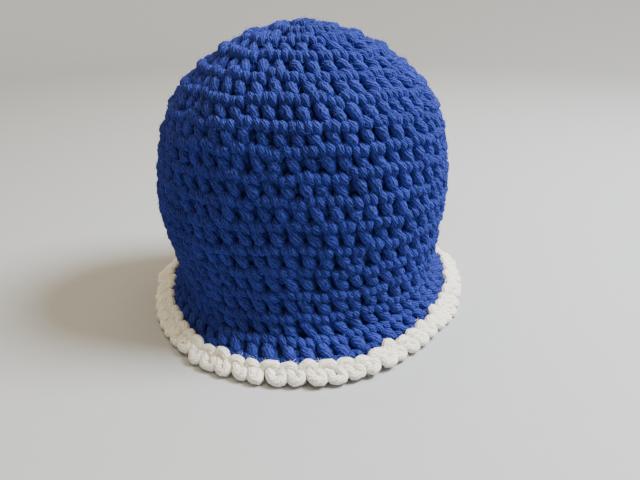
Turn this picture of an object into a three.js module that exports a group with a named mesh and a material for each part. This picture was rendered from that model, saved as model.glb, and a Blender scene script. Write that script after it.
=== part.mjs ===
// A crochet hat that stands on its own flared brim: one hollow shell of thick
// yarn fabric, and a looped edging round the hem. Millimetres, +Z up, the front
// towards -Y. The origin is on the surface it stands on, under the middle.
import * as THREE from "three";

// Driving dimensions.
const ROUNDS = 16; // rounds of stitches, counted from the hem up to the top
const STITCHES = 52; // stitches in a round of the sides, a facet for each
const WALL = 5.0; // thickness of the crocheted fabric
const GROOVE = 1.4; // depth of the groove between two rounds
const GROOVE_EDGE = 0.28; // where a round reaches its full height, as a share of it

// The fold down the front left, where the flat front turns to the side.
const FOLD = {
  height: 2.2, // how far it stands out
  width: THREE.MathUtils.degToRad(15), // half its spread round the hat
  azimuth: THREE.MathUtils.degToRad(-42), // from the front, at the crown
  drift: THREE.MathUtils.degToRad(12), // how far forward it is at the hem
  driftRounds: 5, // the rounds over which it drifts
  fadeRounds: 4, // the rounds over which it dies out below the top
};

// The outer surface, a level section every round or two. left and right are half
// widths, front and back are reaches from the middle of the hat, widest is how far
// back the section is widest, square is the exponent of its superellipse, and sway
// is how much further back the right side lies.
const SECTIONS = [
  { round: 0, z: 10.5, left: 92.5, right: 97.5, front: 86.5, back: 89.0, widest: 17.0, square: 1.92, sway: 15.0 },
  { round: 1, z: 17.0, left: 83.5, right: 89.0, front: 76.0, back: 78.5, widest: 9.0, square: 1.95, sway: 9.0 },
  { round: 2, z: 28.5, left: 80.5, right: 83.0, front: 71.5, back: 71.5, widest: 3.0, square: 2.0, sway: 4.0 },
  { round: 4, z: 55.0, left: 86.0, right: 83.5, front: 69.0, back: 67.0, widest: -1.0, square: 2.1, sway: 0.0 },
  { round: 6, z: 82.0, left: 88.5, right: 85.7, front: 68.5, back: 66.5, widest: -1.0, square: 2.15, sway: 0.0 },
  { round: 8, z: 108.5, left: 85.5, right: 83.5, front: 65.5, back: 63.5, widest: -1.0, square: 2.15, sway: 0.0 },
  { round: 10, z: 133.5, left: 76.0, right: 75.6, front: 60.5, back: 58.0, widest: -1.5, square: 2.15, sway: 0.0 },
  { round: 12, z: 155.0, left: 57.0, right: 56.5, front: 45.0, back: 43.0, widest: -1.5, square: 2.1, sway: 0.0 },
  { round: 14, z: 169.8, left: 30.5, right: 30.3, front: 24.5, back: 22.0, widest: -1.5, square: 2.0, sway: 0.0 },
  { round: 16, z: 176.5, left: 0.1, right: 0.1, front: 1.6, back: -1.4, widest: -1.5, square: 2.0, sway: 0.0 },
];

// The edging: loops of thick soft yarn, one section swept round under the hem.
const LOOPS = 60;
const STEPS_PER_LOOP = 4;
const SEAM_GAP = 0.3; // between the edging and the end of the fabric
const NOTCH = 3.4; // how far its outer edge draws in between two loops
const DIP = 1.6; // how far its top draws down between two loops

// The edging's section from its top round to its flat foot: out is the distance
// from the hem line and up the height. notch and dip are the shares of the two
// depths above that the corner takes between two loops.
const EDGING_SECTION = [
  { out: 4.2, up: 10.6, notch: 0.0, dip: 0.8 },
  { out: 9.4, up: 9.0, notch: 0.6, dip: 1.0 },
  { out: 12.8, up: 6.0, notch: 1.0, dip: 0.6 },
  { out: 13.0, up: 2.6, notch: 1.0, dip: 0.0 },
  { out: 9.2, up: 0.0, notch: 0.6, dip: 0.0 },
  { out: 1.0, up: 0.0, notch: 0.0, dip: 0.0 },
];

const NUDGE = 1e-3; // a small step, for directions on the surface

// A smooth curve through one column of the sections.
function columnCurve(name) {
  const at = SECTIONS.map((row) => row.round);
  const value = SECTIONS.map((row) => row[name]);
  const last = at.length - 1;
  const slope = at.map((_, i) => {
    const before = Math.max(i - 1, 0);
    const after = Math.min(i + 1, last);
    return (value[after] - value[before]) / (at[after] - at[before]);
  });
  return (round) => {
    const i = Math.max(at.findLastIndex((start, n) => n < last && start <= round), 0);
    const span = at[i + 1] - at[i];
    const t = (round - at[i]) / span;
    const u = 1 - t;
    const ends = value[i] * u * u * (1 + 2 * t) + value[i + 1] * t * t * (1 + 2 * u);
    return ends + span * t * u * (slope[i] * u - slope[i + 1] * t);
  };
}

const columns = ["z", "left", "right", "front", "back", "widest", "square", "sway"];
const section = Object.fromEntries(columns.map((name) => [name, columnCurve(name)]));

function foldHeight(round, azimuth) {
  const low = THREE.MathUtils.clamp(1 - round / FOLD.driftRounds, 0, 1);
  const away = (azimuth - FOLD.azimuth - FOLD.drift * low) / FOLD.width;
  const fade = THREE.MathUtils.clamp((ROUNDS - round) / FOLD.fadeRounds, 0, 1);
  return FOLD.height * fade * Math.exp(-away * away);
}

// A point on the outer surface. Azimuth 0 is the front and 90 degrees the right.
function surfacePoint(round, azimuth) {
  const across = Math.sin(azimuth);
  const forward = Math.cos(azimuth);
  const widest = section.widest(round);
  const halfWidth = across > 0 ? section.right(round) : section.left(round);
  const reach = forward > 0 ? section.front(round) + widest : section.back(round) - widest;
  const square = section.square(round);
  const stretch = Math.abs(across / halfWidth) ** square + Math.abs(forward / reach) ** square;
  const radius = stretch ** (-1 / square) + foldHeight(round, azimuth);
  const sway = section.sway(round) * Math.max(across, 0) ** 2;
  return new THREE.Vector3(radius * across, widest - radius * forward + sway, section.z(round));
}

// The two directions at a surface point: straight out of the fabric, and straight
// down it, square to its round.
function surfaceFrame(round, azimuth) {
  const here = surfacePoint(round, azimuth);
  const up = surfacePoint(round + NUDGE, azimuth).sub(here);
  const along = surfacePoint(round, azimuth + NUDGE).sub(here).normalize();
  const outward = along.clone().cross(up).normalize();
  return { outward, down: along.cross(outward) };
}

function surfaceInset(round, azimuth, depth) {
  const { outward } = surfaceFrame(round, azimuth);
  return surfacePoint(round, azimuth).addScaledVector(outward, -depth);
}

function ringOf(steps, pointAt) {
  return Array.from({ length: steps }, (_, step) => pointAt((2 * Math.PI * step) / steps));
}

// Triangles between each ring and the next, where each ring runs round the hat.
function bandIndex(rings, around) {
  const index = [];
  rings.slice(1).forEach((to, i) => {
    const from = rings[i];
    for (let a = 0; a < around; a += 1) {
      const b = (a + 1) % around;
      index.push(from + a, to + b, from + b, from + a, to + a, to + b);
    }
  });
  return index;
}

function solidFrom(points, index) {
  const geometry = new THREE.BufferGeometry().setFromPoints(points);
  geometry.setIndex(index);
  geometry.computeVertexNormals();
  return geometry;
}

// The shell: from the top down the outside, a groove between each two rounds, over
// the hem and up the inside, with one point to close each side of the top.
function crownGeometry() {
  const outside = [];
  for (let round = ROUNDS - 1; round >= 0; round -= 1) {
    const heights = [
      { at: round + 1 - GROOVE_EDGE, depth: 0 },
      { at: round + GROOVE_EDGE, depth: 0 },
      { at: round, depth: round === 0 ? 0 : GROOVE },
    ];
    heights.forEach(({ at, depth }) => {
      outside.push(ringOf(STITCHES, (azimuth) => surfaceInset(at, azimuth, depth)));
    });
  }
  const inside = [];
  for (let round = 0; round < ROUNDS; round += 1) {
    inside.push(ringOf(STITCHES, (azimuth) => surfaceInset(round, azimuth, WALL)));
  }
  const rings = [...outside, ...inside];
  const outerTop = new THREE.Vector3(0, section.widest(ROUNDS), section.z(ROUNDS));
  const innerTop = outerTop.clone().setZ(outerTop.z - WALL);
  const starts = rings.map((_, i) => i * STITCHES);
  const index = bandIndex(starts, STITCHES);
  const outerTopIndex = rings.length * STITCHES;
  const innerTopIndex = outerTopIndex + 1;
  const lastRing = starts.at(-1);
  for (let a = 0; a < STITCHES; a += 1) {
    const b = (a + 1) % STITCHES;
    index.push(outerTopIndex, a, b, innerTopIndex, lastRing + b, lastRing + a);
  }
  return solidFrom([...rings.flat(), outerTop, innerTop], index);
}

// How deep the edging draws in at an azimuth: 1 between two loops, 0 on a loop.
function scallop(azimuth) {
  return ((1 - Math.cos(LOOPS * azimuth)) / 2) ** 2;
}

// One corner ring of the edging for each corner of its section, beginning with the
// two that lie against the end of the fabric.
function edgingGeometry() {
  const steps = LOOPS * STEPS_PER_LOOP;
  const against = (inset) => (azimuth) =>
    surfaceInset(0, azimuth, inset).addScaledVector(surfaceFrame(0, azimuth).down, SEAM_GAP);
  const corner = ({ out, up, notch, dip }) => (azimuth) => {
    const away = surfaceFrame(0, azimuth).outward.setZ(0).normalize();
    const depth = scallop(azimuth);
    const point = surfacePoint(0, azimuth).addScaledVector(away, out - NOTCH * notch * depth);
    return point.setZ(up - DIP * dip * depth);
  };
  const corners = [against(WALL), against(0), ...EDGING_SECTION.map(corner)];
  const rings = corners.map((pointAt) => ringOf(steps, pointAt));
  const starts = rings.map((_, i) => i * steps);
  return solidFrom(rings.flat(), bandIndex([...starts, starts[0]], steps));
}

function sewn(name, geometry, color) {
  const material = new THREE.MeshStandardMaterial({ color, roughness: 0.95, metalness: 0 });
  const mesh = new THREE.Mesh(geometry, material);
  mesh.name = name;
  return mesh;
}

const hat = new THREE.Group();
hat.add(sewn("crown", crownGeometry(), 0x1d3a9c));
hat.add(sewn("edging", edgingGeometry(), 0xf2efe6));

// The origin goes under the middle of the hat, on the surface it stands on.
const extent = new THREE.Box3().setFromObject(hat);
const center = extent.getCenter(new THREE.Vector3());
hat.position.set(-center.x, -center.y, -extent.min.z);

export default hat;
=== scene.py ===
import math

import bpy
import numpy as np
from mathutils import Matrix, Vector


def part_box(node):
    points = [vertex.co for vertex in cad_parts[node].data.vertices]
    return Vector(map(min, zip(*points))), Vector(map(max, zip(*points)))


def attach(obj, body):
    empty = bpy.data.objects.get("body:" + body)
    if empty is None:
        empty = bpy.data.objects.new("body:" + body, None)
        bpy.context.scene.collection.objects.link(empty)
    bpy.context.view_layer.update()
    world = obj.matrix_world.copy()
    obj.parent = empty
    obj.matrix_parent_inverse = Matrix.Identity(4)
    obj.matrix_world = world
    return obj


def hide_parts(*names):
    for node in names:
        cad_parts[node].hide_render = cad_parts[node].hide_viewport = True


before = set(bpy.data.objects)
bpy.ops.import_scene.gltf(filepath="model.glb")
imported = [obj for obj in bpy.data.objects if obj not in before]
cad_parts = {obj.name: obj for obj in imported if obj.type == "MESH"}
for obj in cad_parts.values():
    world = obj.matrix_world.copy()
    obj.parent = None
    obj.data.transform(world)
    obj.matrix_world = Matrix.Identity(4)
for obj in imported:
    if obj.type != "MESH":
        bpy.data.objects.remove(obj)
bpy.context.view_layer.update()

bl_info = {
    "name": "Crochet hat",
    "version": (1, 0, 0),
    "blender": (4, 5, 0),
    "location": "3D View > Sidebar > Hat",
    "description": "Works the yarn of a crocheted hat with a looped edging round its modelled form",
    "category": "Add Mesh",
}

MM = 0.001

# The form of the hat from the hem up. Each row is one level, in millimetres: its round and height,
# the half widths to the left and right, the reach to the front and back, where along the depth the
# hat is widest, the exponent of the outline, 2 for an ellipse, and how much further back the right
# side lies.
FORM_COLUMNS = ("round", "level", "left", "right", "front", "back", "widest", "square", "sway")
FORM_ROWS = (
    (0.0, 10.5, 92.5, 97.5, 86.5, 89.0, 17.0, 1.92, 15.0),
    (1.0, 17.0, 83.5, 89.0, 76.0, 78.5, 9.0, 1.95, 9.0),
    (2.0, 28.5, 80.5, 83.0, 71.5, 71.5, 3.0, 2.0, 4.0),
    (4.0, 55.0, 86.0, 83.5, 69.0, 67.0, -1.0, 2.1, 0.0),
    (6.0, 82.0, 88.5, 85.7, 68.5, 66.5, -1.0, 2.15, 0.0),
    (8.0, 108.5, 85.5, 83.5, 65.5, 63.5, -1.0, 2.15, 0.0),
    (10.0, 133.5, 76.0, 75.6, 60.5, 58.0, -1.5, 2.15, 0.0),
    (12.0, 155.0, 57.0, 56.5, 45.0, 43.0, -1.5, 2.1, 0.0),
    (14.0, 169.8, 30.5, 30.3, 24.5, 22.0, -1.5, 2.0, 0.0),
    (16.0, 176.5, 0.1, 0.1, 1.6, -1.4, -1.5, 2.0, 0.0),
)
ROUNDS = 16

# The soft fold down the front left: its height in millimetres, its width and direction in degrees
# from the front, and how far it drifts below a round. It fades over the last rounds.
FOLD_HEIGHT = 2.2
FOLD_WIDTH = 15.0
FOLD_AZIMUTH = -42.0
FOLD_DRIFT = 12.0
FOLD_DRIFT_ROUNDS = 5.0
FOLD_FADE_ROUNDS = 4.0

# Stitches in each round, from the hem up. Leads are in stitches, and each round starts further on
# than the one below it. The last round is lower than the others.
STITCHES = (54, 52, 52, 52, 52, 52, 52, 52, 52, 50, 48, 42, 33, 24, 15, 7)
FIRST_LEAD = 0.07
LEAD_PER_ROUND = 0.26
LAST_ROUND = 0.8

# The strands of one stitch, as points in four columns. Across and up are shares of the stitch's
# cell, out is in millimetres from the face of the fabric, and thick is a share of the yarn's
# radius. The strands are the cord along the top of the round, two loops over it, the thin strand
# behind and the post.
STITCH_STRANDS = (
    (
        (-0.16, 0.96, -2.5, 0.94),
        (0.30, 0.97, -2.0, 1.00),
        (0.78, 0.97, -2.0, 1.00),
        (1.14, 0.96, -2.6, 0.94),
    ),
    (
        (0.12, 1.16, -4.3, 0.88),
        (0.16, 1.07, -2.0, 0.98),
        (0.24, 0.96, -0.8, 1.07),
        (0.32, 0.85, -1.1, 1.04),
        (0.41, 0.73, -3.3, 0.92),
    ),
    (
        (0.55, 1.16, -4.3, 0.88),
        (0.58, 1.07, -1.9, 0.98),
        (0.66, 0.96, -0.6, 1.08),
        (0.75, 0.85, -0.9, 1.05),
        (0.84, 0.73, -3.0, 0.94),
    ),
    (
        (0.74, 0.80, -5.0, 0.90),
        (0.81, 0.70, -4.5, 0.96),
        (0.89, 0.58, -4.5, 1.00),
        (0.97, 0.45, -5.0, 0.96),
        (1.03, 0.33, -5.7, 0.88),
    ),
    (
        (0.34, 0.84, -3.6, 1.14),
        (0.40, 0.70, -2.8, 1.32),
        (0.49, 0.55, -2.2, 1.48),
        (0.60, 0.40, -2.1, 1.50),
        (0.71, 0.25, -2.4, 1.38),
        (0.81, 0.11, -3.5, 1.14),
    ),
)
STITCH_STEPS = (4, 6, 6, 7, 8)
POST_STRANDS = 2

# The ridge of yarn that closes the first round at the hem: the cord and loops of a stitch, deeper.
HEM_DEPTH = 1.7
HEM_STRANDS = tuple(
    tuple((across, up, out - HEM_DEPTH, thick) for across, up, out, thick in strand)
    for strand in STITCH_STRANDS[:3]
)
HEM_STEPS = (4, 6, 6)

# The strands of one loop of the edging, in the same columns: the loop itself and its cap.
LOOPS = 60
EDGING_STRANDS = (
    (
        (0.08, 0.84, -1.8, 0.85),
        (0.20, 0.60, 0.0, 0.98),
        (0.33, 0.34, 0.7, 1.04),
        (0.42, 0.07, 0.6, 1.06),
        (0.62, -0.02, 0.7, 1.06),
        (0.88, 0.02, 0.5, 1.06),
        (0.93, 0.26, 0.6, 1.04),
        (0.80, 0.50, 0.2, 1.00),
        (0.62, 0.76, -1.8, 0.85),
    ),
    (
        (-0.10, 0.58, -2.0, 0.82),
        (-0.14, 0.84, -0.1, 0.95),
        (0.00, 1.03, 0.7, 1.02),
        (0.28, 1.05, 0.9, 1.04),
        (0.50, 0.92, 0.5, 1.00),
        (0.54, 0.66, -1.6, 0.85),
    ),
)
EDGING_STEPS = (16, 11)
# The slope that the loops lie on, as (out, up) in millimetres from the end of the fabric.
EDGING_TOP = (2.2, 8.0)
EDGING_FOOT = (9.2, 3.2)
FIRST_LOOP_LEAD = 0.5

# Rounds where the form is widest, how far the chart goes below the hem and stops short of the tip,
# in rounds, and the small steps, in rounds and degrees, that give its slopes.
WIDEST_ROUNDS = (0.0, 6.0)
HEM_REACH = 0.8
TIP_GAP = 0.02
SMALL_LIFT = 0.02
SMALL_TURN = 0.5

# The share of a turn that the charts cover, a little past both ends of one turn, and their columns.
CHART_SHARES = np.linspace(-0.12, 1.12, 311)
CHART_ROWS_PER_ROUND = 8

# The inner face of the fabric: the depth of its hidden side, the least depth of its open side, how
# far its lumps stand in, in millimetres, and the share of a lump that each stitch makes.
INSIDE_HIDDEN = 4.7
INSIDE_DEPTH = 5.4
INSIDE_LUMP = 1.1
INSIDE_STITCH_SHARE = 0.55
INSIDE_COLUMNS = 260
INSIDE_ROWS_PER_ROUND = 5


def form_column(column, rounds):
    """One column of the form at any rounds, on a smooth curve through its rows."""
    index = FORM_COLUMNS.index(column)
    at = np.array([row[0] for row in FORM_ROWS])
    value = np.array([row[index] for row in FORM_ROWS])
    slope = np.empty_like(value)
    slope[1:-1] = (value[2:] - value[:-2]) / (at[2:] - at[:-2])
    slope[0] = (value[1] - value[0]) / (at[1] - at[0])
    slope[-1] = (value[-1] - value[-2]) / (at[-1] - at[-2])
    rounds = np.asarray(rounds, dtype=float)
    low = np.clip(np.searchsorted(at, rounds, side="right") - 1, 0, len(at) - 2)
    span = at[low + 1] - at[low]
    t = (rounds - at[low]) / span
    u = 1.0 - t
    return (
        value[low] * u * u * (1 + 2 * t)
        + value[low + 1] * t * t * (1 + 2 * u)
        + span * t * u * (slope[low] * u - slope[low + 1] * t)
    )


def form_points(rounds, azimuths):
    """Points of the hat's face in millimetres, for rounds and for azimuths in degrees."""
    angle = np.radians(azimuths)
    side = np.sin(angle)
    ahead = np.cos(angle)
    widest = form_column("widest", rounds)
    half = np.where(side > 0, form_column("right", rounds), form_column("left", rounds))
    front = form_column("front", rounds) + widest
    back = form_column("back", rounds) - widest
    reach = np.where(ahead > 0, front, back)
    square = form_column("square", rounds)
    radius = (np.abs(side / half) ** square + np.abs(ahead / reach) ** square) ** (-1.0 / square)
    low = np.clip(1.0 - rounds / FOLD_DRIFT_ROUNDS, 0.0, 1.0)
    away = (azimuths - FOLD_AZIMUTH - FOLD_DRIFT * low) / FOLD_WIDTH
    fade = np.clip((ROUNDS - rounds) / FOLD_FADE_ROUNDS, 0.0, 1.0)
    radius = radius + FOLD_HEIGHT * fade * np.exp(-away * away)
    level = form_column("level", rounds) + 0.0 * radius
    sway = form_column("sway", rounds) * np.maximum(side, 0.0) ** 2
    return np.stack([radius * side, widest - radius * ahead + sway, level], axis=-1)


def even_azimuths(level_round, shares):
    """Azimuths in degrees at equal lengths round the hat, from the back, for shares of one turn."""
    azimuth = np.linspace(-180.0, 180.0, 1441)
    ring = form_points(np.full_like(azimuth, level_round), azimuth)
    steps = np.linalg.norm(np.diff(ring, axis=0), axis=1)
    length = np.concatenate([[0.0], np.cumsum(steps)])
    turns = np.floor(shares)
    return np.interp((shares - turns) * length[-1], length, azimuth) + 360.0 * turns


def form_shift():
    """How far the form moves so that its box is the crown's box of the frame."""
    low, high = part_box("crown")
    azimuth = np.linspace(-180.0, 180.0, 721)
    rings = [form_points(np.full_like(azimuth, level), azimuth) for level in WIDEST_ROUNDS]
    ring = np.concatenate(rings)
    middle = (ring.min(axis=0) + ring.max(axis=0)) / 2
    top = FORM_ROWS[-1][1]
    return np.array([
        (low[0] + high[0]) / 2 - middle[0] * MM,
        (low[1] + high[1]) / 2 - middle[1] * MM,
        high[2] - top * MM,
    ])


def wrapped(azimuths):
    """The same directions between -180 and 180 degrees."""
    return (azimuths + 180.0) % 360.0 - 180.0


def crown_chart(shares, rounds):
    """Places in metres and outward directions of the hat's face on a grid of rounds and shares."""
    last = ROUNDS - TIP_GAP
    held = np.clip(rounds, -HEM_REACH, last)
    azimuth = np.stack([even_azimuths(max(level, 0.0), shares) for level in held])
    level = held[:, None] + 0.0 * azimuth

    def place(lift, turn):
        return form_points(np.minimum(level + lift, last), wrapped(azimuth + turn))

    up = place(SMALL_LIFT, 0.0) - place(-SMALL_LIFT, 0.0)
    along = place(0.0, SMALL_TURN) - place(0.0, -SMALL_TURN)
    out = np.cross(along, up)
    out = out / np.linalg.norm(out, axis=-1, keepdims=True)
    return place(0.0, 0.0) * MM + form_shift(), out


def edging_chart(shares, rows):
    """The same for the slope of the edging, where row 0 is its foot and row 1 its upper edge."""
    azimuth = even_azimuths(0.0, shares)
    still = np.zeros_like(azimuth)
    hem = form_points(still, wrapped(azimuth))
    after = form_points(still, wrapped(azimuth + SMALL_TURN))
    along = after - form_points(still, wrapped(azimuth - SMALL_TURN))
    away = np.cross(along, np.array([0.0, 0.0, 1.0]))
    away = away / np.linalg.norm(away, axis=-1, keepdims=True)
    foot = np.array(EDGING_FOOT)
    top = np.array(EDGING_TOP)
    slope = top - foot
    reach = foot[0] + slope[0] * rows
    height = foot[1] + slope[1] * rows
    place = hem[None, :, :] + away[None, :, :] * reach[:, None, None]
    place[..., 2] = height[:, None]
    size = math.hypot(slope[0], slope[1])
    out = away[None, :, :] * (slope[1] / size) + 0.0 * place
    out[..., 2] = -slope[0] / size
    return place * MM + form_shift(), out


def add_object(name, mesh):
    """A new object of a mesh, in the scene."""
    thing = bpy.data.objects.new(name, mesh)
    bpy.context.scene.collection.objects.link(thing)
    return thing


def store(mesh, name, kind, values):
    """Keeps one value for each vertex of a mesh, by name."""
    field = "vector" if kind == "FLOAT_VECTOR" else "value"
    mesh.attributes.new(name, kind, "POINT").data.foreach_set(field, np.ravel(values))


def chart_object(name, shares, rows, place, out):
    """A flat chart of a face: x is the share of a turn, y the round, with the real place kept."""
    columns = len(shares)
    flat = np.zeros((len(rows), columns, 3))
    flat[..., 0] = shares[None, :]
    flat[..., 1] = rows[:, None]
    corner = np.arange(len(rows) * columns).reshape(len(rows), columns)
    faces = np.stack([corner[:-1, :-1], corner[:-1, 1:], corner[1:, 1:], corner[1:, :-1]], axis=-1)
    mesh = bpy.data.meshes.new(name)
    mesh.from_pydata(flat.reshape(-1, 3).tolist(), [], faces.reshape(-1, 4).tolist())
    store(mesh, "place", "FLOAT_VECTOR", place)
    store(mesh, "out", "FLOAT_VECTOR", out)
    return add_object(name, mesh)


def strands_object(name, strands, steps):
    """The strands of one stitch as lines, with how thick each is and how many steps it takes."""
    mesh = bpy.data.meshes.new(name)
    points = [point for strand in strands for point in strand]
    edges = []
    counts = []
    start = 0
    for strand, step in zip(strands, steps):
        edges += [(start + i, start + i + 1) for i in range(len(strand) - 1)]
        counts += [step] * len(strand)
        start += len(strand)
    mesh.from_pydata([(x, y, out * MM) for x, y, out, _ in points], edges, [])
    store(mesh, "thick", "FLOAT", np.array([point[3] for point in points]))
    store(mesh, "steps", "INT", np.array(counts))
    return add_object(name, mesh)


def hollowed(strands, deeper, thinner):
    """The strands of a stitch with its posts set deeper and drawn thinner."""
    posts = tuple(
        tuple((across, up, out - deeper, thick * thinner) for across, up, out, thick in strand)
        for strand in strands[-POST_STRANDS:]
    )
    return strands[:-POST_STRANDS] + posts


def rounds_object(name, rounds):
    """One vertex for each round, with its stitches, where the first stands, and its height."""
    mesh = bpy.data.meshes.new(name)
    mesh.from_pydata([(0.0, low, 0.0) for _, _, low, _ in rounds], [], [])
    store(mesh, "stitches", "INT", np.array([count for count, _, _, _ in rounds]))
    store(mesh, "lead", "FLOAT", np.array([lead for _, lead, _, _ in rounds]))
    store(mesh, "tall", "FLOAT", np.array([tall for _, _, _, tall in rounds]))
    return add_object(name, mesh)


class Tree:
    """Short ways to add nodes to a node tree and to join them."""

    def __init__(self, tree):
        self.tree = tree

    def add(self, kind, inputs=None, **settings):
        """A new node with its settings, its inputs given by name or number as values or sockets."""
        node = self.tree.nodes.new(kind)
        for key, value in settings.items():
            setattr(node, key, value)
        for key, value in (inputs or {}).items():
            self.put(node, key, value)
        return node

    def put(self, node, key, value):
        """Gives one input of a node a value, or joins a socket to it."""
        if isinstance(key, int):
            socket = node.inputs[key]
        else:
            socket = next(item for item in node.inputs if item.name == key and item.enabled)
        if isinstance(value, bpy.types.NodeSocket):
            self.tree.links.new(value, socket)
        else:
            socket.default_value = value

    def out(self, node, name=None):
        """The output of a node that is in use, or the one of that name."""
        return next(item for item in node.outputs if item.enabled and name in (None, item.name))

    def first(self, kind, inputs=None, **settings):
        """The first output of a new node."""
        return self.add(kind, inputs, **settings).outputs[0]

    def place(self):
        """Where each point of the geometry stands."""
        return self.first("GeometryNodeInputPosition")

    def math(self, operation, *values):
        """A sum of numbers or sockets."""
        return self.first("ShaderNodeMath", dict(enumerate(values)), operation=operation)

    def vector(self, operation, *values):
        """A sum of vectors."""
        node = self.add("ShaderNodeVectorMath", dict(enumerate(values)), operation=operation)
        return self.out(node)

    def scaled(self, vector, factor):
        """A vector times a number."""
        return self.first("ShaderNodeVectorMath", {0: vector, "Scale": factor}, operation="SCALE")

    def even(self, value):
        """A vector with one value along every axis."""
        return self.first("ShaderNodeCombineXYZ", {0: value, 1: value, 2: value})

    def blend(self, *terms):
        """The sum of some values, each times its weight."""
        total = None
        for value, weight in terms:
            part = self.math("MULTIPLY", value, weight)
            total = part if total is None else self.math("ADD", total, part)
        return total

    def noise(self, place, scale, detail, output="Fac"):
        """A noise at a place, as a number or as a colour."""
        node = self.add("ShaderNodeTexNoise", {"Vector": place, "Scale": scale, "Detail": detail})
        return self.out(node, output)

    def ramp(self, share, low, high):
        """A colour that runs from one to another. Each is given with the share where it stands."""
        node = self.add("ShaderNodeValToRGB", {"Fac": share})
        for element, (position, colour) in zip(node.color_ramp.elements, (low, high)):
            element.position = position
            element.color = (*colour, 1.0)
        return node.outputs[0]

    def named(self, name, kind):
        """A value kept by name on the geometry."""
        return self.out(self.add("GeometryNodeInputNamedAttribute", {"Name": name}, data_type=kind))

    def kept(self, geometry, name, value, kind, domain):
        """The geometry with a value kept on it by name."""
        node = self.add("GeometryNodeStoreNamedAttribute", data_type=kind, domain=domain)
        self.put(node, "Geometry", geometry)
        self.put(node, "Name", name)
        self.put(node, "Value", value)
        return node.outputs[0]

    def random(self, low, high, seed):
        """A random number for each element."""
        node = self.add("FunctionNodeRandomValue", data_type="FLOAT")
        self.put(node, "Min", low)
        self.put(node, "Max", high)
        self.put(node, "Seed", seed)
        return self.out(node)


# How the yarn leaves its line: a quick and a slow noise, by their scale in a metre. Lumps make it
# thicker and thinner along its length.
QUICK_BENDS = 90.0
SLOW_BENDS = 28.0
LUMPS = 420.0
LUMPINESS = 0.5

YARN_INPUTS = (
    ("Chart", "NodeSocketGeometry"),
    ("Rounds", "NodeSocketObject"),
    ("Strands", "NodeSocketObject"),
    ("Yarn radius", "NodeSocketFloat"),
    ("Sides", "NodeSocketInt"),
    ("Unevenness", "NodeSocketFloat"),
    ("Wobble", "NodeSocketFloat"),
    ("Seed", "NodeSocketInt"),
    ("Yarn", "NodeSocketMaterial"),
)


def group_tree(name, inputs, output):
    """A new geometry tree with named inputs and one output, its helper, and its inputs."""
    tree = bpy.data.node_groups.new(name, "GeometryNodeTree")
    for label, kind in inputs:
        tree.interface.new_socket(label, in_out="INPUT", socket_type=kind)
    tree.interface.new_socket(output, in_out="OUTPUT", socket_type="NodeSocketGeometry")
    t = Tree(tree)
    return tree, t, t.add("NodeGroupInput").outputs


def end_tree(t, geometry, material):
    """Ends a tree: smooth faces, instances made real, the material, and the tree's output."""
    soft = t.first("GeometryNodeSetShadeSmooth", {"Geometry": geometry})
    whole = t.first("GeometryNodeRealizeInstances", {"Geometry": soft})
    painted = t.first("GeometryNodeSetMaterial", {"Geometry": whole, "Material": material})
    t.add("NodeGroupOutput", {0: painted})


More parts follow.
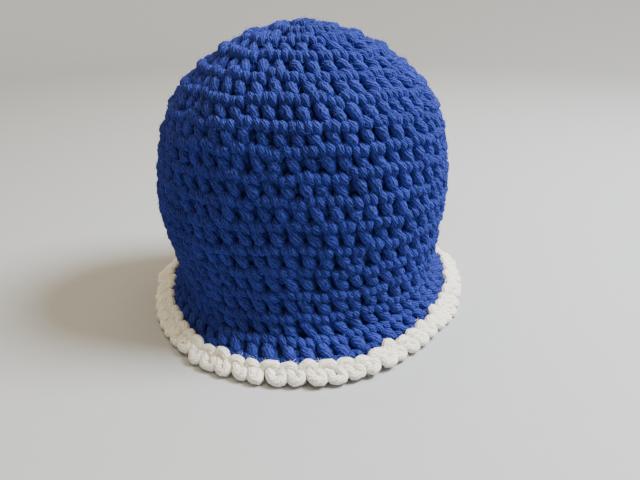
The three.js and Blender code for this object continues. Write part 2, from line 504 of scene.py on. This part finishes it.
def yarn_tree():
    """The tree that works stitches round a chart: strands on points, bent to the face, as tubes."""
    tree, t, given = group_tree("Worked yarn", YARN_INPUTS, "Stitches")
    seed = given["Seed"]

    def from_object(name):
        return t.out(t.add("GeometryNodeObjectInfo", {"Object": given[name]}), "Geometry")

    # One point for each stitch of each round, from the back of the hat.
    count = t.named("stitches", "INT")
    copies = t.add("GeometryNodeDuplicateElements", domain="POINT")
    t.put(copies, "Geometry", from_object("Rounds"))
    t.put(copies, "Amount", count)
    number = t.out(copies, "Duplicate Index")
    turn = t.math("DIVIDE", t.math("ADD", number, t.named("lead", "FLOAT")), count)
    share = t.math("FRACT", t.math("ADD", turn, 0.5))
    here = t.add("ShaderNodeSeparateXYZ", {0: t.place()}).outputs
    spot = t.first("ShaderNodeCombineXYZ", {0: share, 1: here[1]})
    points = t.first("GeometryNodeSetPosition", {"Geometry": copies.outputs[0], "Position": spot})

    # The strands of a stitch, each a smooth curve.
    lines = t.first("GeometryNodeMeshToCurve", {"Mesh": from_object("Strands")})
    smooth = t.first("GeometryNodeCurveSplineType", {"Curve": lines}, spline_type="CATMULL_ROM")
    steps = t.named("steps", "INT")
    strand = t.first("GeometryNodeResampleCurve", {"Curve": smooth, "Count": steps}, mode="COUNT")

    # Each stitch is a little wider, taller or flatter than the next, with a tone of its own.
    wide, tall, flat, tone = (t.math("ADD", seed, extra) for extra in (1, 2, 3, 4))

    def about_one(draw):
        swing = t.random(-1.0, 1.0, draw)
        return t.math("ADD", 1.0, t.math("MULTIPLY", swing, given["Unevenness"]))

    size = t.first("ShaderNodeCombineXYZ", {
        0: t.math("DIVIDE", about_one(wide), count),
        1: t.math("MULTIPLY", about_one(tall), t.named("tall", "FLOAT")),
        2: about_one(flat),
    })
    placed = t.first("GeometryNodeInstanceOnPoints", {
        "Points": points, "Instance": strand, "Scale": size,
    })
    toned = t.kept(placed, "tone", t.random(0.0, 1.0, tone), "FLOAT", "INSTANCE")
    loose = t.first("GeometryNodeRealizeInstances", {"Geometry": toned})

    # From the flat chart to the real face of the hat.
    chart = t.add("ShaderNodeSeparateXYZ", {0: t.place()}).outputs
    on_chart = t.first("ShaderNodeCombineXYZ", {0: chart[0], 1: chart[1]})

    def read(name):
        node = t.add("GeometryNodeSampleNearestSurface", data_type="FLOAT_VECTOR")
        t.put(node, "Mesh", given["Chart"])
        t.put(node, "Value", t.named(name, "FLOAT_VECTOR"))
        t.put(node, "Sample Position", on_chart)
        return t.out(node)

    outward = read("out")
    facing = t.scaled(outward, t.math("ADD", 1.0, chart[2]))
    faced = t.kept(loose, "facing", facing, "FLOAT_VECTOR", "POINT")
    real = t.vector("ADD", read("place"), t.scaled(outward, chart[2]))
    bent = t.first("GeometryNodeSetPosition", {"Geometry": faced, "Position": real})
    quick = t.noise(t.place(), QUICK_BENDS, 1.0, "Color")
    slow = t.noise(t.place(), SLOW_BENDS, 0.0, "Color")
    swing = t.vector("SUBTRACT", t.vector("ADD", quick, slow), (1.0, 1.0, 1.0))
    uneven = t.first("GeometryNodeSetPosition", {
        "Geometry": bent, "Offset": t.scaled(swing, given["Wobble"]),
    })

    # The yarn is thicker in some places than in others.
    lumps = t.math("MULTIPLY", t.noise(t.place(), LUMPS, 0.0), LUMPINESS)
    swell = t.math("ADD", 1.0 - 0.5 * LUMPINESS, lumps)
    thickness = t.math("MULTIPLY", t.named("thick", "FLOAT"), swell)
    lumpy = t.kept(uneven, "thick", thickness, "FLOAT", "POINT")

    # Tubes of yarn, with how far along and how far round kept for the twist.
    length = t.out(t.add("GeometryNodeSplineParameter"), "Length")
    line = t.kept(lumpy, "along", length, "FLOAT", "POINT")
    circle = t.first("GeometryNodeCurvePrimitiveCircle", {
        "Resolution": given["Sides"], "Radius": given["Yarn radius"],
    })
    factor = t.out(t.add("GeometryNodeSplineParameter"), "Factor")
    ring = t.kept(circle, "around", factor, "FLOAT", "POINT")
    tube = t.first("GeometryNodeCurveToMesh", {
        "Curve": line, "Profile Curve": ring, "Scale": t.named("thick", "FLOAT"), "Fill Caps": True,
    })

    # The last face round the ring ends at 1 and not at 0.
    around = t.named("around", "FLOAT")
    face = t.add("GeometryNodeFieldOnDomain", {"Value": around}, domain="FACE", data_type="FLOAT")
    ends = t.math("GREATER_THAN", t.math("SUBTRACT", t.out(face), around), 0.25)
    unwrapped = t.first("ShaderNodeCombineXYZ", {
        0: t.named("along", "FLOAT"), 1: t.math("ADD", around, ends),
    })
    end_tree(t, t.kept(tube, "yarn", unwrapped, "FLOAT2", "CORNER"), given["Yarn"])
    return tree


# A loose fibre: how high it rises and how far it turns aside as shares of its length, its length
# and thickness in millimetres, how far it leans in radians, the shares of its length that it may
# have, and how squarely the yarn has to face outward for one to grow there.
FIBRE_RISE = 0.32
FIBRE_ASIDE = 0.2
FIBRE_LENGTH = 2.4
FIBRE_THICKNESS = 0.055
FIBRE_LEAN = (-0.5, 0.25)
FIBRE_SHARES = (0.5, 1.3)
LEAST_FACING = 0.15

FIBRE_INPUTS = (
    ("Yarn", "NodeSocketGeometry"),
    ("Density", "NodeSocketFloat"),
    ("Length", "NodeSocketFloat"),
    ("Thickness", "NodeSocketFloat"),
    ("Seed", "NodeSocketInt"),
    ("Fibre", "NodeSocketMaterial"),
)


def fibre_tree():
    """The tree that stands short bent fibres on the yarn."""
    tree, t, given = group_tree("Loose fibres", FIBRE_INPUTS, "Fibres")
    seed = given["Seed"]
    about, lean, long = (t.math("ADD", seed, extra) for extra in (1, 2, 3))
    normal = t.first("GeometryNodeInputNormal")
    ahead = t.vector("DOT_PRODUCT", normal, t.named("facing", "FLOAT_VECTOR"))
    spread = t.add("GeometryNodeDistributePointsOnFaces", {
        "Mesh": given["Yarn"], "Selection": t.math("GREATER_THAN", ahead, LEAST_FACING),
        "Density": given["Density"], "Seed": seed,
    }, distribute_method="RANDOM")
    arc = t.first("GeometryNodeCurveQuadraticBezier", {
        "Resolution": 2, "Start": (0.0, 0.0, 0.0), "Middle": (0.45, 0.0, FIBRE_RISE),
        "End": (1.0, FIBRE_ASIDE, FIBRE_RISE * 0.7),
    })
    line = t.first("GeometryNodeTransform", {"Geometry": arc, "Scale": t.even(given["Length"])})
    ring = t.first("GeometryNodeCurvePrimitiveCircle", {
        "Resolution": 3, "Radius": given["Thickness"],
    })
    hair = t.first("GeometryNodeCurveToMesh", {
        "Curve": line, "Profile Curve": ring, "Fill Caps": True,
    })
    turned = t.out(spread, "Rotation")
    turns = (
        ((0.0, 0.0, 1.0), t.random(0.0, math.tau, about)),
        ((0.0, 1.0, 0.0), t.random(*FIBRE_LEAN, lean)),
    )
    for axis, angle in turns:
        step = t.first("FunctionNodeAxisAngleToRotation", {"Axis": axis, "Angle": angle})
        turned = t.first("FunctionNodeRotateRotation", {0: turned, 1: step}, rotation_space="LOCAL")
    stood = t.first("GeometryNodeInstanceOnPoints", {
        "Points": spread.outputs[0], "Instance": hair, "Rotation": turned,
        "Scale": t.even(t.random(*FIBRE_SHARES, long)),
    })
    end_tree(t, stood, given["Fibre"])
    return tree


# Values that the trees keep for their own work. Fibres grow by the last two, which the yarn keeps.
SPARE_VALUES = ("thick", "steps", "stitches", "lead", "tall", "along", "around", "place", "out")
GROUND_VALUES = ("yarn", "facing")
PER_SQUARE_CENTIMETRE = 1e4


def fibres(piece, name, density, material, seed):
    """Loose fibres all over a piece of yarn, as a new object."""
    ground = add_object(name + "_ground", piece.data.copy())
    return worked(name, fibre_tree(), ground, {
        "Density": density * PER_SQUARE_CENTIMETRE, "Length": FIBRE_LENGTH * MM,
        "Thickness": FIBRE_THICKNESS * MM, "Seed": seed, "Fibre": material,
    }, SPARE_VALUES + GROUND_VALUES)


def worked(name, tree, chart, values, spare=SPARE_VALUES):
    """The plain mesh that a tree makes of a chart, as a new object. The chart goes."""
    modifier = chart.modifiers.new("Yarn", "NODES")
    modifier.node_group = tree
    for item in tree.interface.items_tree:
        if item.in_out == "INPUT" and item.name in values:
            modifier[item.identifier] = values[item.name]
    graph = bpy.context.evaluated_depsgraph_get()
    made = chart.evaluated_get(graph)
    mesh = bpy.data.meshes.new_from_object(made, preserve_all_data_layers=True, depsgraph=graph)
    chart.modifiers.remove(modifier)
    bpy.data.objects.remove(chart)
    mesh.name = name
    for value in spare:
        if value in mesh.attributes:
            mesh.attributes.remove(mesh.attributes[value])
    if not mesh.polygons:
        raise RuntimeError(f"{name} came out empty")
    return add_object(name, mesh)


# The scales of the noises in the yarn's finish, in a metre, and how many turns of a ply the first
# of them shifts it.
PLY_DRIFT_SCALE = 260.0
PLY_DRIFT = 2.2
TONE_SCALE = 45.0
FUZZ_SCALE = 1150.0
FINE_ACROSS = 1.6
FINE_ALONG = 560.0


def blank_material(name):
    """A new material and the helper of its empty node tree."""
    material = bpy.data.materials.new(name)
    material.use_nodes = True
    material.node_tree.nodes.clear()
    return material, Tree(material.node_tree)


def yarn_material(name, looks):
    """Plied yarn: twisted ridges along each strand, fine fibres, a sheen and changes of colour,
    with painted shade between the plies and painted highlights on their tops.
    """
    material, t = blank_material(name)
    chart = t.add("ShaderNodeSeparateXYZ", {0: t.first("ShaderNodeUVMap", uv_map="yarn")}).outputs
    place = t.add("ShaderNodeTexCoord").outputs["Object"]
    along = t.math("DIVIDE", chart[0], looks["ply_length"] * MM)
    around = t.math("MULTIPLY", chart[1], float(looks["plies"]))
    drift = t.math("MULTIPLY", t.noise(place, PLY_DRIFT_SCALE, 1.0), PLY_DRIFT)
    turn = t.math("ADD", t.math("ADD", around, along), drift)
    wave = t.math("SINE", t.math("MULTIPLY", turn, math.tau))
    ridge = t.math("ADD", t.math("MULTIPLY", wave, 0.5), 0.5)
    on_ply = t.first("ShaderNodeCombineXYZ", {
        0: t.math("MULTIPLY", turn, FINE_ACROSS), 1: t.math("MULTIPLY", chart[0], FINE_ALONG),
    })
    fine = t.math("SUBTRACT", t.math("MULTIPLY", t.noise(on_ply, 1.0, 2.0), 3.0), 1.0)
    fuzz = t.noise(place, FUZZ_SCALE, 3.0)
    bump = t.first("ShaderNodeBump", {
        "Height": t.blend((ridge, 0.7), (fine, 0.4), (fuzz, 1.1)), "Strength": 1.0,
        "Distance": looks["ply_depth"] * MM,
    })
    tone = t.out(t.add("ShaderNodeAttribute", attribute_name="tone"), "Fac")
    broad = t.noise(place, TONE_SCALE, 2.0)
    # Small spots where the fuzz noise is high are lightened: painted glints on the fibres.
    painted_glint = t.math("POWER", fuzz, 3.0)
    # The colour: tone and broad noise are the yarn's own changes of colour. The ridge term darkens
    # the colour between the plies and lightens it on their tops, which is painted shade and painted
    # highlight.
    share = t.blend((tone, 0.12), (broad, 0.22), (ridge, 0.46), (fine, 0.26), (painted_glint, 1.4))
    surface = t.add("ShaderNodeBsdfPrincipled", {
        "Base Color": t.ramp(share, (0.36, looks["dark"]), (0.98, looks["light"])),
        "Normal": bump,
        "Roughness": looks["roughness"],
        "Specular IOR Level": looks["specular"],
        "Sheen Weight": looks["sheen"],
        "Sheen Roughness": 0.45,
        "Sheen Tint": (*looks["sheen_tint"], 1.0),
    })
    if looks["soft"] > 0.0:
        t.put(surface, "Subsurface Weight", looks["soft"])
        t.put(surface, "Subsurface Radius", (1.0, 0.9, 0.75))
        t.put(surface, "Subsurface Scale", 1.6 * MM)
    t.add("ShaderNodeOutputMaterial", {"Surface": surface.outputs[0]})
    return material


def fibre_material(name, colour):
    """A loose fibre: the yarn's colour, with darker stretches and much lighter ones, which are
    painted glints.
    """
    material, t = blank_material(name)
    place = t.add("ShaderNodeTexCoord").outputs["Object"]
    dark = [0.8 * value for value in colour]
    # The much lighter stretches are painted glints on the loose fibres.
    light = [min(1.0, 2.4 * value) for value in colour]
    surface = t.first("ShaderNodeBsdfPrincipled", {
        "Base Color": t.ramp(t.noise(place, 300.0, 2.0), (0.45, dark), (0.65, light)),
        "Roughness": 0.6,
        "Specular IOR Level": 0.3,
    })
    t.add("ShaderNodeOutputMaterial", {"Surface": surface})
    return material


def matte_material(name, dark, light, roughness, grain, depth):
    """A matte finish whose colour and height follow the same fine grain."""
    material, t = blank_material(name)
    height = t.noise(t.add("ShaderNodeTexCoord").outputs["Object"], grain, 3.0)
    bump = t.first("ShaderNodeBump", {"Height": height, "Strength": 1.0, "Distance": depth})
    surface = t.first("ShaderNodeBsdfPrincipled", {
        "Base Color": t.ramp(height, (0.3, dark), (0.7, light)),
        "Normal": bump,
        "Roughness": roughness,
        "Specular IOR Level": 0.2,
    })
    t.add("ShaderNodeOutputMaterial", {"Surface": surface})
    return material


def crown_looks(settings):
    """The numbers of the crown's yarn."""
    return {
        "dark": tuple(settings.crown_dark), "light": tuple(settings.crown_light),
        "plies": settings.plies, "ply_length": settings.ply_length,
        "ply_depth": settings.ply_depth, "roughness": 0.7, "specular": 0.04,
        "sheen": 0.03, "sheen_tint": (0.3, 0.4, 1.0), "soft": 0.0,
    }


def edging_looks(settings):
    """The numbers of the edging's yarn."""
    return {
        "dark": tuple(settings.edging_dark), "light": tuple(settings.edging_light),
        "plies": 8, "ply_length": 4.4, "ply_depth": 0.45, "roughness": 0.8, "specular": 0.2,
        "sheen": 0.25, "sheen_tint": (1.0, 0.98, 0.94), "soft": 0.25,
    }


class HatYarn(bpy.types.PropertyGroup):
    """Sizes and colours of the hat's two yarns."""

    crown_radius: bpy.props.FloatProperty(
        name="Crown yarn radius", description="Half the thickness of the blue yarn",
        default=2.25 * MM, subtype="DISTANCE", unit="LENGTH",
    )
    edging_radius: bpy.props.FloatProperty(
        name="Edging yarn radius", description="Half the thickness of the white yarn",
        default=2.7 * MM, subtype="DISTANCE", unit="LENGTH",
    )
    sides: bpy.props.IntProperty(
        name="Sides", description="Faces round a strand of yarn", default=8, min=5, max=16,
    )
    unevenness: bpy.props.FloatProperty(
        name="Unevenness", description="How much one stitch differs from the next",
        default=0.13, subtype="FACTOR",
    )
    plies: bpy.props.IntProperty(
        name="Plies", description="Twisted ridges round the blue yarn", default=10, min=2, max=24,
    )
    ply_length: bpy.props.FloatProperty(
        name="Ply length", description="Millimetres along the yarn from one ridge to the next",
        default=4.8,
    )
    ply_depth: bpy.props.FloatProperty(
        name="Ply depth", description="Millimetres that a ridge stands up", default=0.4,
    )
    # Darker than the yarn's own blue: painted shade in the valleys between the plies.
    crown_dark: bpy.props.FloatVectorProperty(
        name="Crown dark", description="Blue between the plies", subtype="COLOR", size=3,
        default=(0.012, 0.018, 0.056), min=0.0, max=1.0,
    )
    # The blue on the ply tops is partly the yarn's own blue and partly painted highlight.
    crown_light: bpy.props.FloatVectorProperty(
        name="Crown light", description="Blue on top of the plies", subtype="COLOR", size=3,
        default=(0.035, 0.051, 0.335), min=0.0, max=1.0,
    )
    crown_fuzz: bpy.props.FloatProperty(
        name="Crown fuzz", description="Loose fibres for each square centimetre of blue yarn",
        default=8.5, min=0.0,
    )
    edging_fuzz: bpy.props.FloatProperty(
        name="Edging fuzz", description="Loose fibres for each square centimetre of white yarn",
        default=6.0, min=0.0,
    )
    # Darker than the yarn's own white: painted shade in the valleys between the plies.
    edging_dark: bpy.props.FloatVectorProperty(
        name="Edging dark", description="White between the plies", subtype="COLOR", size=3,
        default=(0.81, 0.73, 0.60), min=0.0, max=1.0,
    )
    # The white on the ply tops is partly the yarn's own white and partly painted highlight.
    edging_light: bpy.props.FloatVectorProperty(
        name="Edging light", description="White on top of the plies", subtype="COLOR", size=3,
        default=(1.0, 0.96, 0.88), min=0.0, max=1.0,
    )


class HatStage(bpy.types.PropertyGroup):
    """The floor, the lights and the camera."""

    floor_colour: bpy.props.FloatVectorProperty(
        name="Floor", description="Colour of the floor", subtype="COLOR", size=3,
        default=(0.43, 0.43, 0.45), min=0.0, max=1.0,
    )
    camera_height: bpy.props.FloatProperty(
        name="Camera height", description="Height of the camera over the floor",
        default=0.205, subtype="DISTANCE", unit="LENGTH",
    )
    camera_distance: bpy.props.FloatProperty(
        name="Camera distance", description="How far the camera stands in front of the middle",
        default=0.3372, subtype="DISTANCE", unit="LENGTH",
    )
    camera_side: bpy.props.FloatProperty(
        name="Camera side", description="How far the camera stands to the right of the middle",
        default=0.0067, subtype="DISTANCE", unit="LENGTH",
    )
    camera_pitch: bpy.props.FloatProperty(
        name="Camera pitch", description="How far the camera looks down",
        default=math.radians(26.0), subtype="ANGLE", unit="ROTATION",
    )
    lens: bpy.props.FloatProperty(
        name="Lens", description="Focal length on a sensor 36 mm wide, in millimetres",
        default=32.06,
    )


def settle(piece, node):
    """Ties a finished piece to the body and hides the part of the frame that it stands for."""
    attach(piece, "root")
    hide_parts(node)


def rest_on_floor(piece):
    """Presses the underside of a piece flat where it would pass below the floor."""
    mesh = piece.data
    place = np.empty(3 * len(mesh.vertices), dtype=np.float32)
    mesh.vertices.foreach_get("co", place)
    place[2::3] = np.maximum(place[2::3], 0.0)
    mesh.vertices.foreach_set("co", place)
    mesh.update()


def remove_all(*things):
    """Takes helper objects out of the scene."""
    for thing in things:
        bpy.data.objects.remove(thing)


# Bands of rounds, each one piece of the crown: the first round, the one after the last, how much
# deeper its posts lie in millimetres, and how thick they are as a share. The hem's ridge is one.
CROWN_BANDS = (
    ("crown_hem_ridge", -1, 0, 0.0, 1.0),
    ("crown_low_rounds", 0, 4, 0.0, 1.0),
    ("crown_side_rounds", 4, 8, 0.0, 1.0),
    ("crown_upper_rounds", 8, 12, 0.2, 0.97),
    ("crown_top_rounds", 12, 16, 0.6, 0.90),
)
CROWN_WOBBLE = 2.2
CROWN_SEED = 10
CROWN_FUZZ_SEED = 40


class HAT_OT_crown(bpy.types.Operator):
    """Works the blue rounds of the crown in four bands, and the ridge at its hem."""

    bl_idname = "hat.crown"
    bl_label = "Crown stitches"

    def execute(self, context):
        """Makes one piece of each band, with its loose fibres."""
        settings = context.scene.hat_yarn
        tree = yarn_tree()
        yarn = yarn_material("crown_yarn", crown_looks(settings))
        fibre = fibre_material("crown_fibre", settings.crown_light)
        for name, first, last, deeper, thinner in CROWN_BANDS:
            if last == 0:
                strands = strands_object("ridge", HEM_STRANDS, HEM_STEPS)
            else:
                hollow = hollowed(STITCH_STRANDS, deeper, thinner)
                strands = strands_object("stitch", hollow, STITCH_STEPS)
            rows = np.arange(max(first, 0) - 1.0, last + 1.01, 1.0 / CHART_ROWS_PER_ROUND)
            face = crown_chart(CHART_SHARES, rows)
            chart = chart_object(name + "_chart", CHART_SHARES, rows, *face)
            rounds = rounds_object(name + "_rounds", [
                (STITCHES[max(index, 0)], FIRST_LEAD + LEAD_PER_ROUND * index, float(index),
                 LAST_ROUND if index == ROUNDS - 1 else 1.0)
                for index in range(first, last)
            ])
            piece = worked(name, tree, chart, {
                "Rounds": rounds, "Strands": strands, "Yarn radius": settings.crown_radius,
                "Sides": settings.sides, "Unevenness": settings.unevenness,
                "Wobble": CROWN_WOBBLE * MM, "Seed": CROWN_SEED + first, "Yarn": yarn,
            })
            remove_all(rounds, strands)
            fuzz_seed = CROWN_FUZZ_SEED + first
            fuzz = fibres(piece, name + "_fuzz", settings.crown_fuzz, fibre, fuzz_seed)
            settle(piece, "crown")
            settle(fuzz, "crown")
        return {"FINISHED"}


def inside_depth(shares, rows):
    """How deep the open side of the inner face lies, in millimetres, lump by lump."""
    level = rows[:, None]
    below = np.floor(level)
    count = np.array(STITCHES)[np.clip(below.astype(int), 0, ROUNDS - 1)]
    stitch_lump = 0.5 + 0.5 * np.cos(math.tau * (shares[None, :] * count - LEAD_PER_ROUND * below))
    round_lump = np.abs(np.sin(math.pi * level))
    share = 1.0 - INSIDE_STITCH_SHARE + INSIDE_STITCH_SHARE * stitch_lump
    return INSIDE_DEPTH + INSIDE_LUMP * round_lump * share


class HAT_OT_inside(bpy.types.Operator):
    """Makes the fabric behind the stitches, which the inside of the hat shows."""

    bl_idname = "hat.inside"
    bl_label = "Inner face"

    def execute(self, context):
        """Makes one closed shell from two faces of the form."""
        columns = INSIDE_COLUMNS
        shares = np.arange(columns) / columns
        rows = np.linspace(0.0, ROUNDS, INSIDE_ROWS_PER_ROUND * ROUNDS + 1)
        points = len(rows) * columns
        place, out = crown_chart(shares, rows)
        outer = place - out * INSIDE_HIDDEN * MM
        inner = place - out * inside_depth(shares, rows)[..., None] * MM
        both = np.concatenate([outer.reshape(-1, 3), inner.reshape(-1, 3)])
        corner = np.arange(points).reshape(len(rows), columns)
        after = np.roll(corner, -1, axis=1)
        front = np.stack([corner[:-1], after[:-1], after[1:], corner[1:]], axis=-1).reshape(-1, 4)
        back = front[:, ::-1] + points
        hem = np.stack([corner[0] + points, after[0] + points, after[0], corner[0]], axis=-1)
        faces = np.concatenate([front, back, hem]).tolist()
        faces.append(corner[-1].tolist())
        faces.append((corner[-1][::-1] + points).tolist())
        mesh = bpy.data.meshes.new("crown_inner_face")
        mesh.from_pydata(both.tolist(), [], faces)
        corners = np.empty(len(mesh.loops), dtype=np.int32)
        mesh.loops.foreach_get("vertex_index", corners)
        flat = corners % points
        chart = np.stack([shares[flat % columns], rows[flat // columns]], axis=-1)
        mesh.uv_layers.new(name="yarn").data.foreach_set("uv", chart.ravel())
        mesh.shade_smooth()
        settings = context.scene.hat_yarn
        # The inner face is painted darker than the crown's yarn, up to half its light blue: painted
        # shade for the deep holes between the stitches.
        light = [0.5 * value for value in settings.crown_light]
        mesh.materials.append(matte_material(
            "crown_inner_yarn_painted_shade", settings.crown_dark, light, roughness=0.9, grain=650.0,
            depth=0.5 * MM,
        ))
        settle(add_object("crown_inner_face", mesh), "crown")
        return {"FINISHED"}


EDGING_UNEVENNESS = 0.18
EDGING_WOBBLE = 3.6
EDGING_SEED = 5
EDGING_FUZZ_SEED = 70


class HAT_OT_edging(bpy.types.Operator):
    """Works the white loops of the edging round the hem."""

    bl_idname = "hat.edging"
    bl_label = "Edging loops"

    def execute(self, context):
        """Makes the ring of loops, with its loose fibres."""
        settings = context.scene.hat_yarn
        yarn = yarn_material("edging_yarn", edging_looks(settings))
        strands = strands_object("loop", EDGING_STRANDS, EDGING_STEPS)
        rows = np.linspace(-0.5, 1.5, 17)
        chart = chart_object("edging_chart", CHART_SHARES, rows, *edging_chart(CHART_SHARES, rows))
        rounds = rounds_object("edging_rounds", [(LOOPS, FIRST_LOOP_LEAD, 0.0, 1.0)])
        piece = worked("edging_loops", yarn_tree(), chart, {
            "Rounds": rounds, "Strands": strands, "Yarn radius": settings.edging_radius,
            "Sides": settings.sides, "Unevenness": EDGING_UNEVENNESS,
            "Wobble": EDGING_WOBBLE * MM, "Seed": EDGING_SEED, "Yarn": yarn,
        })
        rest_on_floor(piece)
        remove_all(rounds, strands)
        fibre = fibre_material("edging_fibre", settings.edging_light)
        fuzz = fibres(piece, "edging_loops_fuzz", settings.edging_fuzz, fibre, EDGING_FUZZ_SEED)
        rest_on_floor(fuzz)
        settle(fuzz, "edging")
        settle(piece, "edging")
        return {"FINISHED"}


# The floor runs flat as far as its reach, bends up with its radius and ends as a wall, in metres.
FLOOR_REACH = 1.0
FLOOR_BEND = 0.5
WALL_HEIGHT = 1.5
FLOOR_SIDES = 96
FLOOR_BEND_ROWS = 13

# Each light: its name and place, its size in metres, its power in watts and its colour.
LIGHTS = (
    ("window", (0.75, 0.0, 0.95), 0.45, 40.0, (0.88, 0.95, 1.0)),
    ("ceiling", (0.0, 0.1, 1.9), 1.6, 27.0, (1.0, 0.87, 0.56)),
)
LIT_POINT = (0.0, 0.0, 0.08)
SKY_COLOUR = (1.0, 0.72, 0.32, 1.0)
SKY_STRENGTH = 0.31
SENSOR_WIDTH = 36.0


def floor_mesh():
    """A round floor that bends up into a wall far behind the hat."""
    turn = np.arange(FLOOR_SIDES) * math.tau / FLOOR_SIDES
    bend = np.radians(np.linspace(0.0, 90.0, FLOOR_BEND_ROWS))
    far = FLOOR_REACH + FLOOR_BEND
    reach = np.concatenate([[0.4, 0.8], FLOOR_REACH + FLOOR_BEND * np.sin(bend), [far]])[:, None]
    height = np.concatenate([[0.0, 0.0], FLOOR_BEND * (1.0 - np.cos(bend)), [WALL_HEIGHT]])
    rings = np.stack([
        np.cos(turn) * reach, np.sin(turn) * reach, height[:, None] + 0.0 * turn,
    ], axis=-1)
    corner = np.arange(len(reach) * FLOOR_SIDES).reshape(len(reach), FLOOR_SIDES)
    after = np.roll(corner, -1, axis=1)
    faces = np.stack([corner[:-1], corner[1:], after[1:], after[:-1]], axis=-1).reshape(-1, 4)
    mesh = bpy.data.meshes.new("floor")
    mesh.from_pydata(rings.reshape(-1, 3).tolist(), [], [corner[0].tolist(), *faces.tolist()])
    mesh.shade_smooth()
    return mesh


def add_light(name, place, size, power, colour):
    """One soft round lamp that looks at the hat."""
    light = bpy.data.lights.new(name, "AREA")
    light.shape = "DISK"
    light.size = size
    light.energy = power
    light.color = colour
    lamp = bpy.data.objects.new(name, light)
    lamp.location = place
    away = Vector(LIT_POINT) - Vector(place)
    lamp.rotation_euler = away.to_track_quat("-Z", "Y").to_euler()
    bpy.context.scene.collection.objects.link(lamp)


class HAT_OT_stage(bpy.types.Operator):
    """Lays the floor, hangs the soft lights and stands the camera where the photograph has it."""

    bl_idname = "hat.stage"
    bl_label = "Floor, lights and camera"

    def execute(self, context):
        """Makes the floor, the lights, the sky and the camera."""
        settings = context.scene.hat_stage
        mesh = floor_mesh()
        dark = [0.98 * value for value in settings.floor_colour]
        mesh.materials.append(matte_material(
            "pale_floor", dark, settings.floor_colour, roughness=0.7, grain=90.0, depth=0.02 * MM,
        ))
        floor = add_object("floor", mesh)

        world = bpy.data.worlds.new("pale_room")
        world.use_nodes = True
        sky = world.node_tree.nodes["Background"]
        sky.inputs["Color"].default_value = SKY_COLOUR
        sky.inputs["Strength"].default_value = SKY_STRENGTH
        context.scene.world = world
        for light in LIGHTS:
            add_light(*light)

        data = bpy.data.cameras.new("camera")
        data.sensor_width = SENSOR_WIDTH
        data.lens = settings.lens
        data.clip_start = 0.01
        camera = bpy.data.objects.new("camera", data)
        camera.location = (settings.camera_side, -settings.camera_distance, settings.camera_height)
        camera.rotation_euler = (math.radians(90.0) - settings.camera_pitch, 0.0, 0.0)
        context.scene.collection.objects.link(camera)
        context.scene.camera = camera
        return {"FINISHED"}


class HAT_PT_panel(bpy.types.Panel):
    """Lists the steps that make the hat."""

    bl_idname = "HAT_PT_panel"
    bl_label = "Crochet hat"
    bl_space_type = "VIEW_3D"
    bl_region_type = "UI"
    bl_category = "Hat"

    def draw(self, context):
        """Shows the sizes, the colours and the steps."""
        layout = self.layout
        for group in (context.scene.hat_yarn, context.scene.hat_stage):
            box = layout.box()
            for name in group.__annotations__:
                box.prop(group, name)
        for step in STEPS:
            layout.operator(step.bl_idname)


STEPS = (HAT_OT_stage, HAT_OT_inside, HAT_OT_crown, HAT_OT_edging)
CLASSES = (HatYarn, HatStage, *STEPS, HAT_PT_panel)


def register():
    """Adds the classes and the settings to Blender."""
    for item in CLASSES:
        bpy.utils.register_class(item)
    bpy.types.Scene.hat_yarn = bpy.props.PointerProperty(type=HatYarn)
    bpy.types.Scene.hat_stage = bpy.props.PointerProperty(type=HatStage)


def unregister():
    """Takes them out again."""
    del bpy.types.Scene.hat_stage
    del bpy.types.Scene.hat_yarn
    for item in reversed(CLASSES):
        bpy.utils.unregister_class(item)


def main():
    """Makes the hat and its stage."""
    register()
    bpy.ops.hat.stage()
    bpy.ops.hat.inside()
    bpy.ops.hat.crown()
    bpy.ops.hat.edging()


if __name__ == "__main__":
    main()
